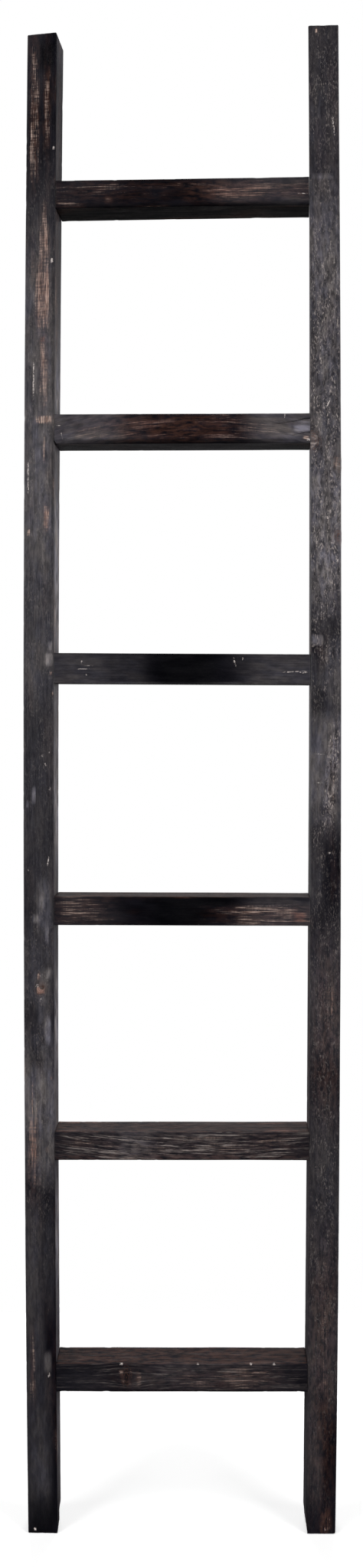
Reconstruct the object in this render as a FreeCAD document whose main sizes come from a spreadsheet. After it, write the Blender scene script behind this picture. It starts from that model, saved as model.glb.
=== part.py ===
"""Blanket ladder: two square rails, six square rungs butted between them, and countersunk screws.

Millimetres. +X is right, +Y is away from the viewer and +Z is up. The origin is on the floor,
midway between the rails and midway through their depth.
"""

import FreeCAD, Part
import math
import os

import Sketcher
from FreeCAD import Placement, Rotation, Vector

SIZES = (
    ("timber_depth", 38.0, "rails and rungs, front to back: their faces are flush"),
    ("arris", 1.5, "radius of the eased long edges"),
    # rails
    ("rail_face", 39.0, "width of a rail, seen from the front"),
    ("clear_width", 327.0, "between the rails, and so the length of a rung"),
    ("rail_headroom", 194.0, "right rail above the top of the highest rung"),
    ("left_top_drop", 9.0, "how much shorter the left rail is"),
    ("left_top_skew", 3.5, "how far its top cut falls towards the outer side"),
    ("end_bevel", 1.0, "bevel round the ends of the rails"),
    # rungs, counted from the top
    ("rung_pitch", 304.8, "from one rung to the next, if they were evenly set"),
    ("lowest_rung_top", 221.0, "above the floor"),
    ("rung_1_face", 35.0, "height of the front face"),
    ("rung_2_face", 38.0, "height of the front face"),
    ("rung_3_face", 39.0, "height of the front face"),
    ("rung_4_face", 37.0, "height of the front face"),
    ("rung_5_face", 36.5, "height of the front face"),
    ("rung_6_face", 36.5, "height of the front face"),
    ("rung_2_offset", 4.8, "set above its even place"),
    ("rung_3_offset", 2.1, "set above its even place"),
    ("rung_4_offset", -6.1, "negative: set below its even place"),
    ("rung_5_offset", -4.8, "negative: set below its even place"),
    ("rung_1_slope", 7.0, "how much higher its right end is set"),
    ("rung_2_slope", 2.0, "how much higher its right end is set"),
    ("rung_3_slope", -1.5, "negative: its right end is lower"),
    ("rung_4_slope", -1.0, "negative: its right end is lower"),
    # screws, one through each rail into each rung end
    ("screw_length", 75.0, "head to tip"),
    ("screw_head", 9.4, "diameter"),
    ("screw_shank", 4.2, "diameter below the head, and of the pilot hole that grips it"),
    ("screw_sink", 0.5, "head below the rail's outer side"),
    ("shank_clearance", 0.9, "hole through the rail wider than the shank, so that a thread passes"),
    ("pilot_spare", 2.0, "pilot hole beyond the tip"),
    ("recess_span", 4.8, "across the cross in the head"),
    ("recess_slot", 1.2, "width of each slot of the cross"),
    ("recess_depth", 2.0, "depth of the cross"),
    # damage
    ("chip_high", 18.0, "broken corner of the left foot"),
    ("chip_wide", 4.0, "broken corner of the left foot"),
    ("chip_deep", 15.0, "broken corner of the left foot, from the rear"),
    ("foot_wear_high", 16.0, "worn inner corner of the right foot"),
    ("foot_wear_wide", 2.0, "worn inner corner of the right foot"),
    ("split_deep", 6.0, "drying splits in the right end of rung 2"),
    ("upper_split_long", 44.0, "upper split, from the rung's end"),
    ("upper_split_mouth", 1.6, "its width at the end"),
    ("upper_split_below", 7.0, "its place below the rung's top, at the end"),
    ("upper_split_fall", 8.0, "how much lower its inner tip is"),
    ("lower_split_long", 23.0, "lower split, from the rung's end"),
    ("lower_split_mouth", 1.2, "its width at the end"),
    ("lower_split_below", 25.0, "its place below the rung's top, at the end"),
    ("lower_split_fall", 3.5, "how much lower its inner tip is"),
)

RUNGS = ("rung_1", "rung_2", "rung_3", "rung_4", "rung_5", "rung_6")
LEFT, RIGHT = -1, 1
SIDE_NAMES = {LEFT: "left", RIGHT: "right"}
SPLIT_RUNG = "rung_2"
COUNTERSINK_ANGLE = 90
OUT_OF_SQUARE = 8.0  # degrees that an edge may lean and still run along its board
ROUGH = 10.0  # how large a sketch is drawn before its constraints move it
ACROSS, UP = Vector(1, 0, 0), Vector(0, 0, 1)
SHEET = "Sizes"


def make_sheet(doc):
    """The driving dimensions, one row each: name, value, meaning."""
    sheet = doc.addObject("Spreadsheet::Sheet", SHEET)
    for row, (alias, value, meaning) in enumerate(SIZES, start=1):
        sheet.set(f"A{row}", alias)
        sheet.set(f"B{row}", str(value))
        sheet.set(f"C{row}", meaning)
        sheet.setAlias(f"B{row}", alias)
    doc.recompute()
    return sheet


def size(alias):
    """The expression that reads one driving dimension."""
    return f"{SHEET}.{alias}"


def rung_size(rung, what):
    """The expression that reads a rung's face, slope or offset, which is 0 where none is given."""
    alias = f"{rung}_{what}"
    return size(alias) if any(alias == row[0] for row in SIZES) else "0"


def rung_top(rung):
    """Height of a rung's top edge at mid-length."""
    steps = len(RUNGS) - 1 - RUNGS.index(rung)
    even_place = f"{size('lowest_rung_top')} + {steps} * {size('rung_pitch')}"
    return f"{even_place} + {rung_size(rung, 'offset')}"


def end_middle(rung, side):
    """How far the middle of a rung's end, where its screw goes, is above the rung's top."""
    return f"{side} * {rung_size(rung, 'slope')} / 2 - {rung_size(rung, 'face')} / 2"


def rail_height():
    return f"{rung_top(RUNGS[0])} + {size('rail_headroom')}"


def new_body(doc, name):
    body = doc.addObject("PartDesign::Body", name)
    body.Label = name
    return body


def plane(body, role):
    """One of the body's own origin planes, such as XZ_Plane."""
    return next(f for f in body.Origin.OriginFeatures if f.Role == role)


def new_sketch(body, name, role, offset="0"):
    """A sketch on an origin plane, moved along the plane's normal by an expression."""
    sketch = body.newObject("Sketcher::SketchObject", name)
    sketch.AttachmentSupport = [(plane(body, role), "")]
    sketch.MapMode = "FlatFace"
    sketch.setExpression("AttachmentOffset.Base.z", offset)
    return sketch


def fix_point(sketch, geometry, vertex, x, y):
    """Hold a point at x, y, two expressions measured from the sketch's origin."""
    start = sketch.getPoint(geometry, vertex)
    for kind, here, expression in (("DistanceX", start.x, x), ("DistanceY", start.y, y)):
        index = sketch.addConstraint(Sketcher.Constraint(kind, -1, 1, geometry, vertex, here))
        sketch.setExpression(f"Constraints[{index}]", expression)


def polygon(body, name, role, corners, offset="0"):
    """A closed outline of straight lines, each corner given by two expressions."""
    sketch = new_sketch(body, name, role, offset)
    turn = 2 * math.pi / len(corners)
    spokes = [Vector(math.cos(n * turn), math.sin(n * turn), 0) for n in range(len(corners))]
    points = [spoke * ROUGH for spoke in spokes]
    for n, start in enumerate(points):
        sketch.addGeometry(Part.LineSegment(start, points[(n + 1) % len(points)]), False)
    for n in range(len(points)):
        following = (n + 1) % len(points)
        sketch.addConstraint(Sketcher.Constraint("Coincident", n, 2, following, 1))
    for n, (x, y) in enumerate(corners):
        fix_point(sketch, n, 1, x, y)
    return sketch


def circles(body, name, role, centres, diameter, offset="0"):
    """Equal circles, each centre given by two expressions."""
    sketch = new_sketch(body, name, role, offset)
    for n, (x, y) in enumerate(centres):
        sketch.addGeometry(Part.Circle(Vector(0, n * ROUGH, 0), UP, ROUGH / 4), False)
        fix_point(sketch, n, 3, x, y)
        index = sketch.addConstraint(Sketcher.Constraint("Diameter", n, ROUGH / 2))
        sketch.setExpression(f"Constraints[{index}]", diameter)
    return sketch


def pad_both_ways(body, name, sketch, depth):
    pad = body.newObject("PartDesign::Pad", name)
    pad.Profile = sketch
    pad.Midplane = True
    pad.setExpression("Length", depth)
    body.Document.recompute()
    return pad


def cut_into(body, name, sketch, depth, reverse=False):
    """A blind pocket, which must take some material away."""
    before = body.Shape.Volume
    pocket = body.newObject("PartDesign::Pocket", name)
    pocket.Profile = sketch
    pocket.Reversed = reverse
    pocket.setExpression("Length", depth)
    body.Document.recompute()
    if not pocket.Shape.Volume < before:
        raise RuntimeError(f"{name} in {body.Label} cuts nothing")
    return pocket


def dress_edges(body, name, kind, wanted):
    """A fillet or chamfer on the edges that a test picks out."""
    base = body.Tip
    edges = [f"Edge{n}" for n, edge in enumerate(base.Shape.Edges, start=1) if wanted(edge)]
    feature = body.newObject(kind, name)
    feature.Base = (base, edges)
    return feature


def round_edges(body, name, wanted):
    fillet = dress_edges(body, name, "PartDesign::Fillet", wanted)
    fillet.setExpression("Radius", size("arris"))
    body.Document.recompute()


def bevel_edges(body, name, wanted):
    chamfer = dress_edges(body, name, "PartDesign::Chamfer", wanted)
    chamfer.setExpression("Size", size("end_bevel"))
    body.Document.recompute()


def runs_along(axis):
    """A test for the edges that run along a board, whose ends may be a little out of square."""

    def wanted(edge):
        lean = edge.tangentAt(edge.FirstParameter).getAngle(axis)
        return abs(math.sin(lean)) < math.sin(math.radians(OUT_OF_SQUARE))

    return wanted


def runs_across(axis):
    """A test for the edges round a board's ends."""
    along = runs_along(axis)
    return lambda edge: not along(edge)


def make_rail(doc, side):
    """A square rail: outline seen from the front, eased edges, and screw holes from outside."""
    name = f"{SIDE_NAMES[side]}_rail"
    body = new_body(doc, name)
    half = f"{size('rail_face')} / 2"
    outer, inner = f"{side} * {half}", f"{-side} * {half}"
    inner_top, outer_top = rail_height(), rail_height()
    if side == LEFT:
        inner_top = f"{rail_height()} - {size('left_top_drop')}"
        outer_top = f"{inner_top} - {size('left_top_skew')}"
    corners = [(outer, "0"), (inner, "0"), (inner, inner_top), (outer, outer_top)]
    outline = polygon(body, f"{name}_outline", "XZ_Plane", corners)
    pad_both_ways(body, f"{name}_wood", outline, size("timber_depth"))
    bevel_edges(body, f"{name}_end_bevels", runs_across(UP))
    round_edges(body, f"{name}_arrises", runs_along(UP))
    wear_foot(body, side, inner)
    drill_rail(body, side)
    place(body, f"{side} * ({size('clear_width')} + {size('rail_face')}) / 2")
    return body


def wear_foot(body, side, inner):
    """The broken inner corner of the left foot, or the worn one of the right, cut from the rear."""
    if side == LEFT:
        high, wide, deep = size("chip_high"), size("chip_wide"), size("chip_deep")
    else:
        high, wide, deep = size("foot_wear_high"), size("foot_wear_wide"), size("timber_depth")
    corners = [(inner, "0"), (inner, high), (f"{inner} + {side} * {wide}", "0")]
    sketch = polygon(body, f"{body.Name}_corner", "XZ_Plane", corners, f"-{size('timber_depth')} / 2")
    cut_into(body, f"{body.Name}_worn_foot", sketch, deep, reverse=True)


def drill_rail(body, side):
    """Clearance holes with countersinks, from the outer side, one for each rung."""
    centres = [("0", f"{rung_top(rung)} + {end_middle(rung, side)}") for rung in RUNGS]
    bore = f"{size('screw_shank')} + {size('shank_clearance')}"
    outer_side = f"{side} * {size('rail_face')} / 2"
    sketch = circles(body, f"{body.Name}_hole_centres", "YZ_Plane", centres, bore, outer_side)
    body.Document.recompute()
    before = body.Shape.Volume
    hole = body.newObject("PartDesign::Hole", f"{body.Name}_screw_holes")
    hole.Profile = sketch
    body.Document.recompute()
    hole.Threaded = False
    hole.Reversed = side == LEFT
    hole.DepthType = "ThroughAll"
    hole.setExpression("Diameter", bore)
    hole.HoleCutType = "Countersink"
    hole.HoleCutCustomValues = True
    hole.setExpression("HoleCutDiameter", f"{size('screw_head')} + 2 * {size('screw_sink')}")
    hole.HoleCutCountersinkAngle = COUNTERSINK_ANGLE
    body.Document.recompute()
    if not hole.Shape.Volume < before:
        raise RuntimeError(f"the holes in {body.Label} cut nothing")


def make_rung(doc, rung):
    """A square rung with plumb ends, set out of level by its slope, and pilot holes."""
    body = new_body(doc, rung)
    half = f"{size('clear_width')} / 2"
    right_top = f"{rung_size(rung, 'slope')} / 2"
    left_top = f"-{right_top}"
    face = rung_size(rung, "face")
    corners = [
        (f"-{half}", f"{left_top} - {face}"),
        (half, f"{right_top} - {face}"),
        (half, right_top),
        (f"-{half}", left_top),
    ]
    outline = polygon(body, f"{rung}_outline", "XZ_Plane", corners)
    pad_both_ways(body, f"{rung}_wood", outline, size("timber_depth"))
    round_edges(body, f"{rung}_arrises", runs_along(ACROSS))
    if rung == SPLIT_RUNG:
        split_end(body, "upper", right_top)
        split_end(body, "lower", right_top)
    for side in (LEFT, RIGHT):
        drill_rung(body, rung, side)
    place(body, "0", rung_top(rung))
    return body


def split_end(body, which, right_top):
    """A drying split: a thin wedge that opens at the rung's right end."""
    end = f"{size('clear_width')} / 2"
    tip = f"{end} - {size(which + '_split_long')}"
    middle = f"{right_top} - {size(which + '_split_below')}"
    gape = f"{size(which + '_split_mouth')} / 2"
    corners = [
        (end, f"{middle} + {gape}"),
        (tip, f"{middle} - {size(which + '_split_fall')}"),
        (end, f"{middle} - {gape}"),
    ]
    name = f"{body.Name}_{which}_split"
    sketch = polygon(body, f"{name}_outline", "XZ_Plane", corners, f"{size('timber_depth')} / 2")
    cut_into(body, name, sketch, size("split_deep"))


def drill_rung(body, rung, side):
    """The pilot hole in one end, as wide as the shank that it grips."""
    centres = [("0", end_middle(rung, side))]
    name = f"{rung}_{SIDE_NAMES[side]}_pilot"
    end = f"{side} * {size('clear_width')} / 2"
    sketch = circles(body, f"{name}_outline", "YZ_Plane", centres, size("screw_shank"), end)
    reach = f"{size('screw_sink')} + {size('screw_length')} - {size('rail_face')}"
    cut_into(body, name, sketch, f"{reach} + {size('pilot_spare')}", reverse=side == LEFT)


def make_screw(doc, rung, side):
    """The countersunk screw of one joint: a turned blank with a cross recess in its head."""
    name = f"{rung}_{SIDE_NAMES[side]}_screw"
    body = new_body(doc, name)
    turn_screw(body, name)
    cut_recess(body, name)
    outer_side = f"{side} * ({size('clear_width')} / 2 + {size('rail_face')})"
    place(body, outer_side, f"{rung_top(rung)} + {end_middle(rung, side)}")
    if side == RIGHT:
        body.Placement = Placement(body.Placement.Base, Rotation(UP, 180))
    return body


def turn_screw(body, name):
    """Half profile from the head to the tip, turned round the screw's axis."""
    head, shank = f"{size('screw_head')} / 2", f"{size('screw_shank')} / 2"
    sink = size("screw_sink")
    neck = f"{sink} + {head} - {shank}"
    tip = f"{sink} + {size('screw_length')}"
    corners = [(sink, "0"), (sink, head), (neck, shank), (tip, shank), (tip, "0")]
    sketch = polygon(body, f"{name}_profile", "XZ_Plane", corners)
    blank = body.newObject("PartDesign::Revolution", f"{name}_blank")
    blank.Profile = sketch
    blank.ReferenceAxis = (sketch, ["H_Axis"])
    blank.Angle = 360
    body.Document.recompute()


def cut_recess(body, name):
    """The cross that the driver turns."""
    far, near = f"{size('recess_span')} / 2", f"{size('recess_slot')} / 2"
    steps = ((far, near), (near, near), (near, far))
    corners = []
    for turn_x, turn_y in ((1, 1), (-1, 1), (-1, -1), (1, -1)):
        quarter = steps if turn_x == turn_y else tuple(reversed(steps))
        corners += [(f"{turn_x} * {x}", f"{turn_y} * {y}") for x, y in quarter]
    sketch = polygon(body, f"{name}_cross", "YZ_Plane", corners, size("screw_sink"))
    cut_into(body, f"{name}_recess", sketch, size("recess_depth"), reverse=True)


def place(body, x, z="0"):
    """Set a finished piece at its place, by expressions."""
    body.setExpression("Placement.Base.x", x)
    body.setExpression("Placement.Base.z", z)
    body.Document.recompute()


def check(doc, parts):
    """Stop unless everything recomputed and each piece is sound."""
    for item in doc.Objects:
        if "Invalid" in item.State or "Error" in item.State:
            raise RuntimeError(f"{item.Label} did not recompute: {item.State}")
    for part in parts:
        if part.Shape.isNull() or not part.Shape.isValid():
            raise RuntimeError(f"{part.Label} has no sound shape")
        print(part.Label, len(part.Shape.Solids), "solids", round(part.Shape.Volume), "mm3")


def main():
    doc = FreeCAD.newDocument("blanket_ladder")
    make_sheet(doc)
    parts = [make_rail(doc, side) for side in (LEFT, RIGHT)]
    parts += [make_rung(doc, rung) for rung in RUNGS]
    parts += [make_screw(doc, rung, side) for rung in RUNGS for side in (LEFT, RIGHT)]
    doc.recompute()
    check(doc, parts)
    os.makedirs("parts", exist_ok=True)
    for part in parts:
        part.Shape.exportStep(f"parts/{part.Label}.step")


main()
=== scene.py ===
"""Blanket ladder in worn black paint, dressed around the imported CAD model.

The CAD model's frame is kept: +X is right, +Y is away from the camera, +Z is up, and the origin is
on the floor, midway between the rails and midway through their depth. Timber is shaped and marked
in millimetres, and set in the scene in metres.
"""

import itertools
import math

import bpy
import numpy as np
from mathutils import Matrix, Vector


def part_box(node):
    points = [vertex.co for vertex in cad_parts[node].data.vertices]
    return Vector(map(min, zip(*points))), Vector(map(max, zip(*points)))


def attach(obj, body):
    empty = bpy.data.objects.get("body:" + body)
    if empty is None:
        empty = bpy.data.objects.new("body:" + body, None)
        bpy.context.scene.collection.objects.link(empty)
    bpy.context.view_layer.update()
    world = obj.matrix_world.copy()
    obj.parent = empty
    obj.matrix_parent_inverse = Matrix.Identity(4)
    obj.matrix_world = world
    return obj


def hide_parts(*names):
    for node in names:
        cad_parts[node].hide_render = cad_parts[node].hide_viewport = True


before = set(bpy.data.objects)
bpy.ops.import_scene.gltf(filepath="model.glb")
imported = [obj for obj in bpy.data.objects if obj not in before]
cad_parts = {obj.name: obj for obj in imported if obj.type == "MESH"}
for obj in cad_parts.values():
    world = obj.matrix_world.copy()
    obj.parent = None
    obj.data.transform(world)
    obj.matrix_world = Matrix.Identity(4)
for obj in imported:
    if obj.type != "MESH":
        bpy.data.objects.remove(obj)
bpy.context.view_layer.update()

MM = 0.001
WHITE = (1.0, 1.0, 1.0, 1.0)

RAILS = ("left_rail", "right_rail")
RUNGS = tuple(f"rung_{number}" for number in range(1, 7))

# ---------------------------------------------------------------- camera and studio

# The camera, fitted to the photograph.
IMAGE_LONG_SIDE = 2048
FOCAL_LENGTH = 1400  # in pixels of the photograph
AXIS_ROW = 956  # the row that the lens points at
SENSOR = 36.0
CAMERA_PLACE = (0.003, -1.396, 1.048)
CAMERA_PITCH, CAMERA_ROLL, CAMERA_YAW = -0.465, -0.03, 0.16  # degrees

# The floor: half its width, its front and its back, and how much it glows by itself.
FLOOR_SIDE, FLOOR_FRONT, FLOOR_BACK = 0.6, -0.08, 0.5
FLOOR_COLOUR, FLOOR_ROUGHNESS, FLOOR_GLOW = "f4f4f4", 0.9, 0.4

# The room's light, and the backdrop's: between which directions away from the camera it rises, and
# between which heights it comes in and fades out again.
ROOM_LIGHT, BACKDROP_LIGHT = 0.03, 0.32
BACKDROP_AWAY, BACKDROP_FOOT, BACKDROP_TOP = (0.5, 0.95), (-0.3, 0.0), (0.9, 0.25)

SOFTBOXES = (  # name, place, aim, size, watts, and whether the paint mirrors it
    ("left_softbox", (-2.2, -1.25, 1.5), (0, 0, 1.0), (1.6, 2.3), 62.0, True),
    ("right_softbox", (2.2, -1.25, 1.5), (0, 0, 1.0), (1.6, 2.3), 62.0, True),
    ("top_softbox", (0.0, -0.4, 3.4), (0, 0.1, 0), (2.0, 1.6), 6.0, True),
    ("rear_softbox", (0.0, 2.4, 1.5), (0, 0, 1.0), (1.6, 2.0), 45.0, False),
)

# ---------------------------------------------------------------- shape

# How the old frame has settled: a slight bow, and rails that wind more towards the top. Both go by
# the height as a share, about -1 at the feet and 1 at the tops.
FRAME_MIDDLE, FRAME_HALF = 977.0, 970.0
BOW = 0.0271
WIND = (2.8, 3.8, 1.4)  # degrees: at mid-height, and what each power of the height adds
WIND_FADE = 40.0  # how far along a rung the wind of its rail is felt

# How the rails' sawn tops rise from left to right, against the wind. Each is as high as its node
# at its right edge.
SAWN_TOPS = {"left_rail": 0.0, "right_rail": -0.07}

# Lattice of a timber's surface: cells across its face and its side, and how long a cell is.
RAIL_CELLS = (36, 12, 2.3)
RUNG_CELLS = (34, 30, 1.0)
ARC_STEPS = (22.5, 45.0)  # degrees round half of an edge's arc

# Eased edges: their radius, how much of it wanders, what the dings add to it, and what is left of
# it at a rung's end, with the length over which it grows back.
ARRIS, ARRIS_WANDER = 1.5, 0.35
DING_LEVEL, DING_DEPTH = 0.55, 3.0
ARRIS_AT_BUTT, ARRIS_GROWTH = 0.8, 8.0

# How far the surface stands off the flat, and how near its end a rung comes back to it.
UNEVENNESS, GRAIN_RISE, CHIP_DEPTH = 0.30, 0.10, 0.35
KNOT_RISE, KNOT_RIPPLE, KNOT_RINGS = 0.5, 0.15, 9.0
BUTT_FLAT = 4.0

# How far behind the front face a place is no longer on it, and how far it still is in full. A knot
# raises the front half alone: how far before the middle it begins to, and does so in full.
FRONT_FADE = (5.0, 2.0)
FRONT_HALF = (0.0, 10.0)

# How squarely a face looks one way, as a cosine: the span over which wear comes in, the least for a
# node's top or underside, and the least for the cells that a screw hole is let into.
FACING = (0.6, 0.95)
LARGE_FLAT = 0.9
OUTER_SIDE = 0.99

# Knots: place along the grain and across the face, and radius both ways.
KNOTS = {
    "left_rail": ((706, 2, 7, 7),),
    "right_rail": ((1408, -16, 12, 9), (1380, 17, 9, 7), (1287, 17, 9, 7)),
    "rung_6": ((-72, 1, 6, 13),),
}
KNOT_FADE = 1.5  # in radii of the knot
KNOT_FLOW = 1.8  # how much longer than wide the fibres' way round a knot is

# How the grain arches on a rung's face: the crown's place, and its fall per square millimetre.
ARCHES = {"rung_2": (20.0, 0.0007), "rung_5": (60.0, -0.0003)}
GRAIN_WANDER = 1.5
BOARD_SHIFT = 500.0  # how far apart two timbers lie in the wood that they are cut from

# Screw holes in the rails' outer sides: how far round one the lattice is cut, and radius and depth
# of each ring, from the face inwards.
HOLE_REACH = 8.0
SCREW_HOLE = ((5.4, 0.0), (5.2, 0.15), (2.6, 2.7), (2.5, 4.5))
SCREW_TURN = 2.4  # radians from one screw's stop to the next one's

# Feet: inner side, height, width and depth from the rear of the corner that is gone.
FOOT_WEAR = {"left_rail": (1, 18.0, 4.0, 15.0), "right_rail": (-1, 16.0, 2.0, 38.0)}
FOOT_ROUGHNESS = 0.3

# Small pieces gone from the rails' long edges: height, side, reach and depth.
NICKS = {
    "left_rail": ((1796, -1, 4, 1.2), (1240, -1, 6, 0.8), (1858, 1, 6, 1.2), (402, -1, 8, 0.8)),
    "right_rail": ((1616, -1, 5, 1.0), (1512, -1, 4, 1.2), (1337, -1, 5, 1.0), (58, -1, 8, 1.0)),
}

# Drying splits in the right end of rung 2, each with its height and width at the end, its length
# and its fall, then how they wander, how wide they end and how deep they go at both ends, and how
# far behind the front face a vertex still belongs to it.
SPLIT_RUNG = "rung_2"
SPLITS = ((13.0, 1.6, 44.0, 8.0), (-5.0, 1.2, 23.0, 3.5))
SPLIT_WANDER, SPLIT_TIP, SPLIT_DEPTH, SPLIT_FACE = 0.5, 0.12, (1.0, 4.0), 1.0

# The lower left corner of the same rung is worn round: its radius, and how far behind the front
# face that fades out.
WORN_CORNER, CORNER_FADE = 6.0, 8.0

# Random patterns over a timber: millimetres from one value to the next across it, front to back
# and along it, what is added to the timber's seed, and the values between which the pattern rises
# from 0 to 1. Without these, it keeps its values from -1 to 1.
PATTERNS = {
    "edge_wander": ((30, 30, 45), 0, None),
    "edge_dings": ((20, 20, 11), 1, None),
    "unevenness": ((30, 30, 260), 2, None),
    "raised_grain": ((2.6, 2.6, 70), 3, None),
    "rubbing": ((14, 14, 130), 5, (0.15, 0.8)),
    "freckles": ((9, 9, 60), 6, (0.1, 0.8)),
    "smears": ((16, 16, 70), 7, None),
    "redness": ((18, 18, 90), 8, (0.2, 0.7)),
    "scuffs": ((12, 12, 26), 9, (0.1, 0.7)),
    "grain_wander": ((60, 60, 160), 10, None),
    "foot_roughness": ((3, 3, 4), 11, None),
    "split_wander": ((math.inf, math.inf, 6.25), 12, None),
    "patches": ((5, 5, 12), 13, None),
}

# ---------------------------------------------------------------- wear

# Wear that no mark sets, each at its strongest: on the faces that the marks leave out, on the rear
# ones, on a rung's top, along the edges with how far it comes in from them, and as freckles.
HIDDEN_TAN, HIDDEN_RED, HIDDEN_FINE = 0.6, 0.5, 0.12
REAR_GREY = 0.12
TOP_RED, TOP_TAN = 0.8, 0.15
EDGE_TAN, EDGE_BAND = 0.45, 2.7
USUAL_FRECKLES, FRECKLES = 0.15, {"rung_3": 0.0}

# Haze on the faces that the marks leave out, from place to place along the timber, and how much
# it is smeared and patchy. On the left rail's inner side it is painted light: that side is made
# lighter where the light from the right falls on it, and lifted where a rung would shade it.
USUAL_HAZE = ((0, 0.1),)
HIDDEN_HAZE_AND_LIGHT = {
    # Painted light on the left rail's inner side.
    "left_rail": (
        (20, 0.10), (75, 0.30), (130, 0.40), (190, 0.28), (290, 0.45), (400, 0.80), (450, 0.48),
        (520, 0.42), (600, 0.62), (660, 1.0), (720, 0.50), (755, 0.32), (860, 0.36), (890, 0.62),
        (940, 0.85), (990, 0.58), (1050, 0.42), (1160, 0.62), (1210, 1.0), (1290, 0.88),
        (1380, 0.28), (1480, 0.78), (1550, 0.38), (1600, 0.20), (1880, 0.11), (1930, 0.30),
    ),
    "right_rail": ((60, 0.14), (180, 0.06), (300, 0.18), (900, 0.22), (1300, 0.26), (1900, 0.18)),
    "rung_1": ((0, 0.0),),
    "rung_2": ((0, 0.08),),
    "rung_6": ((0, 0.04),),
}
SMEARED, PATCHY = 0.3, 0.9

# Painted shade on the undersides, which are made full black, and how much of it.
PAINTED_SHADE_BELOW = {"rung_1": 0.95}
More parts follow.
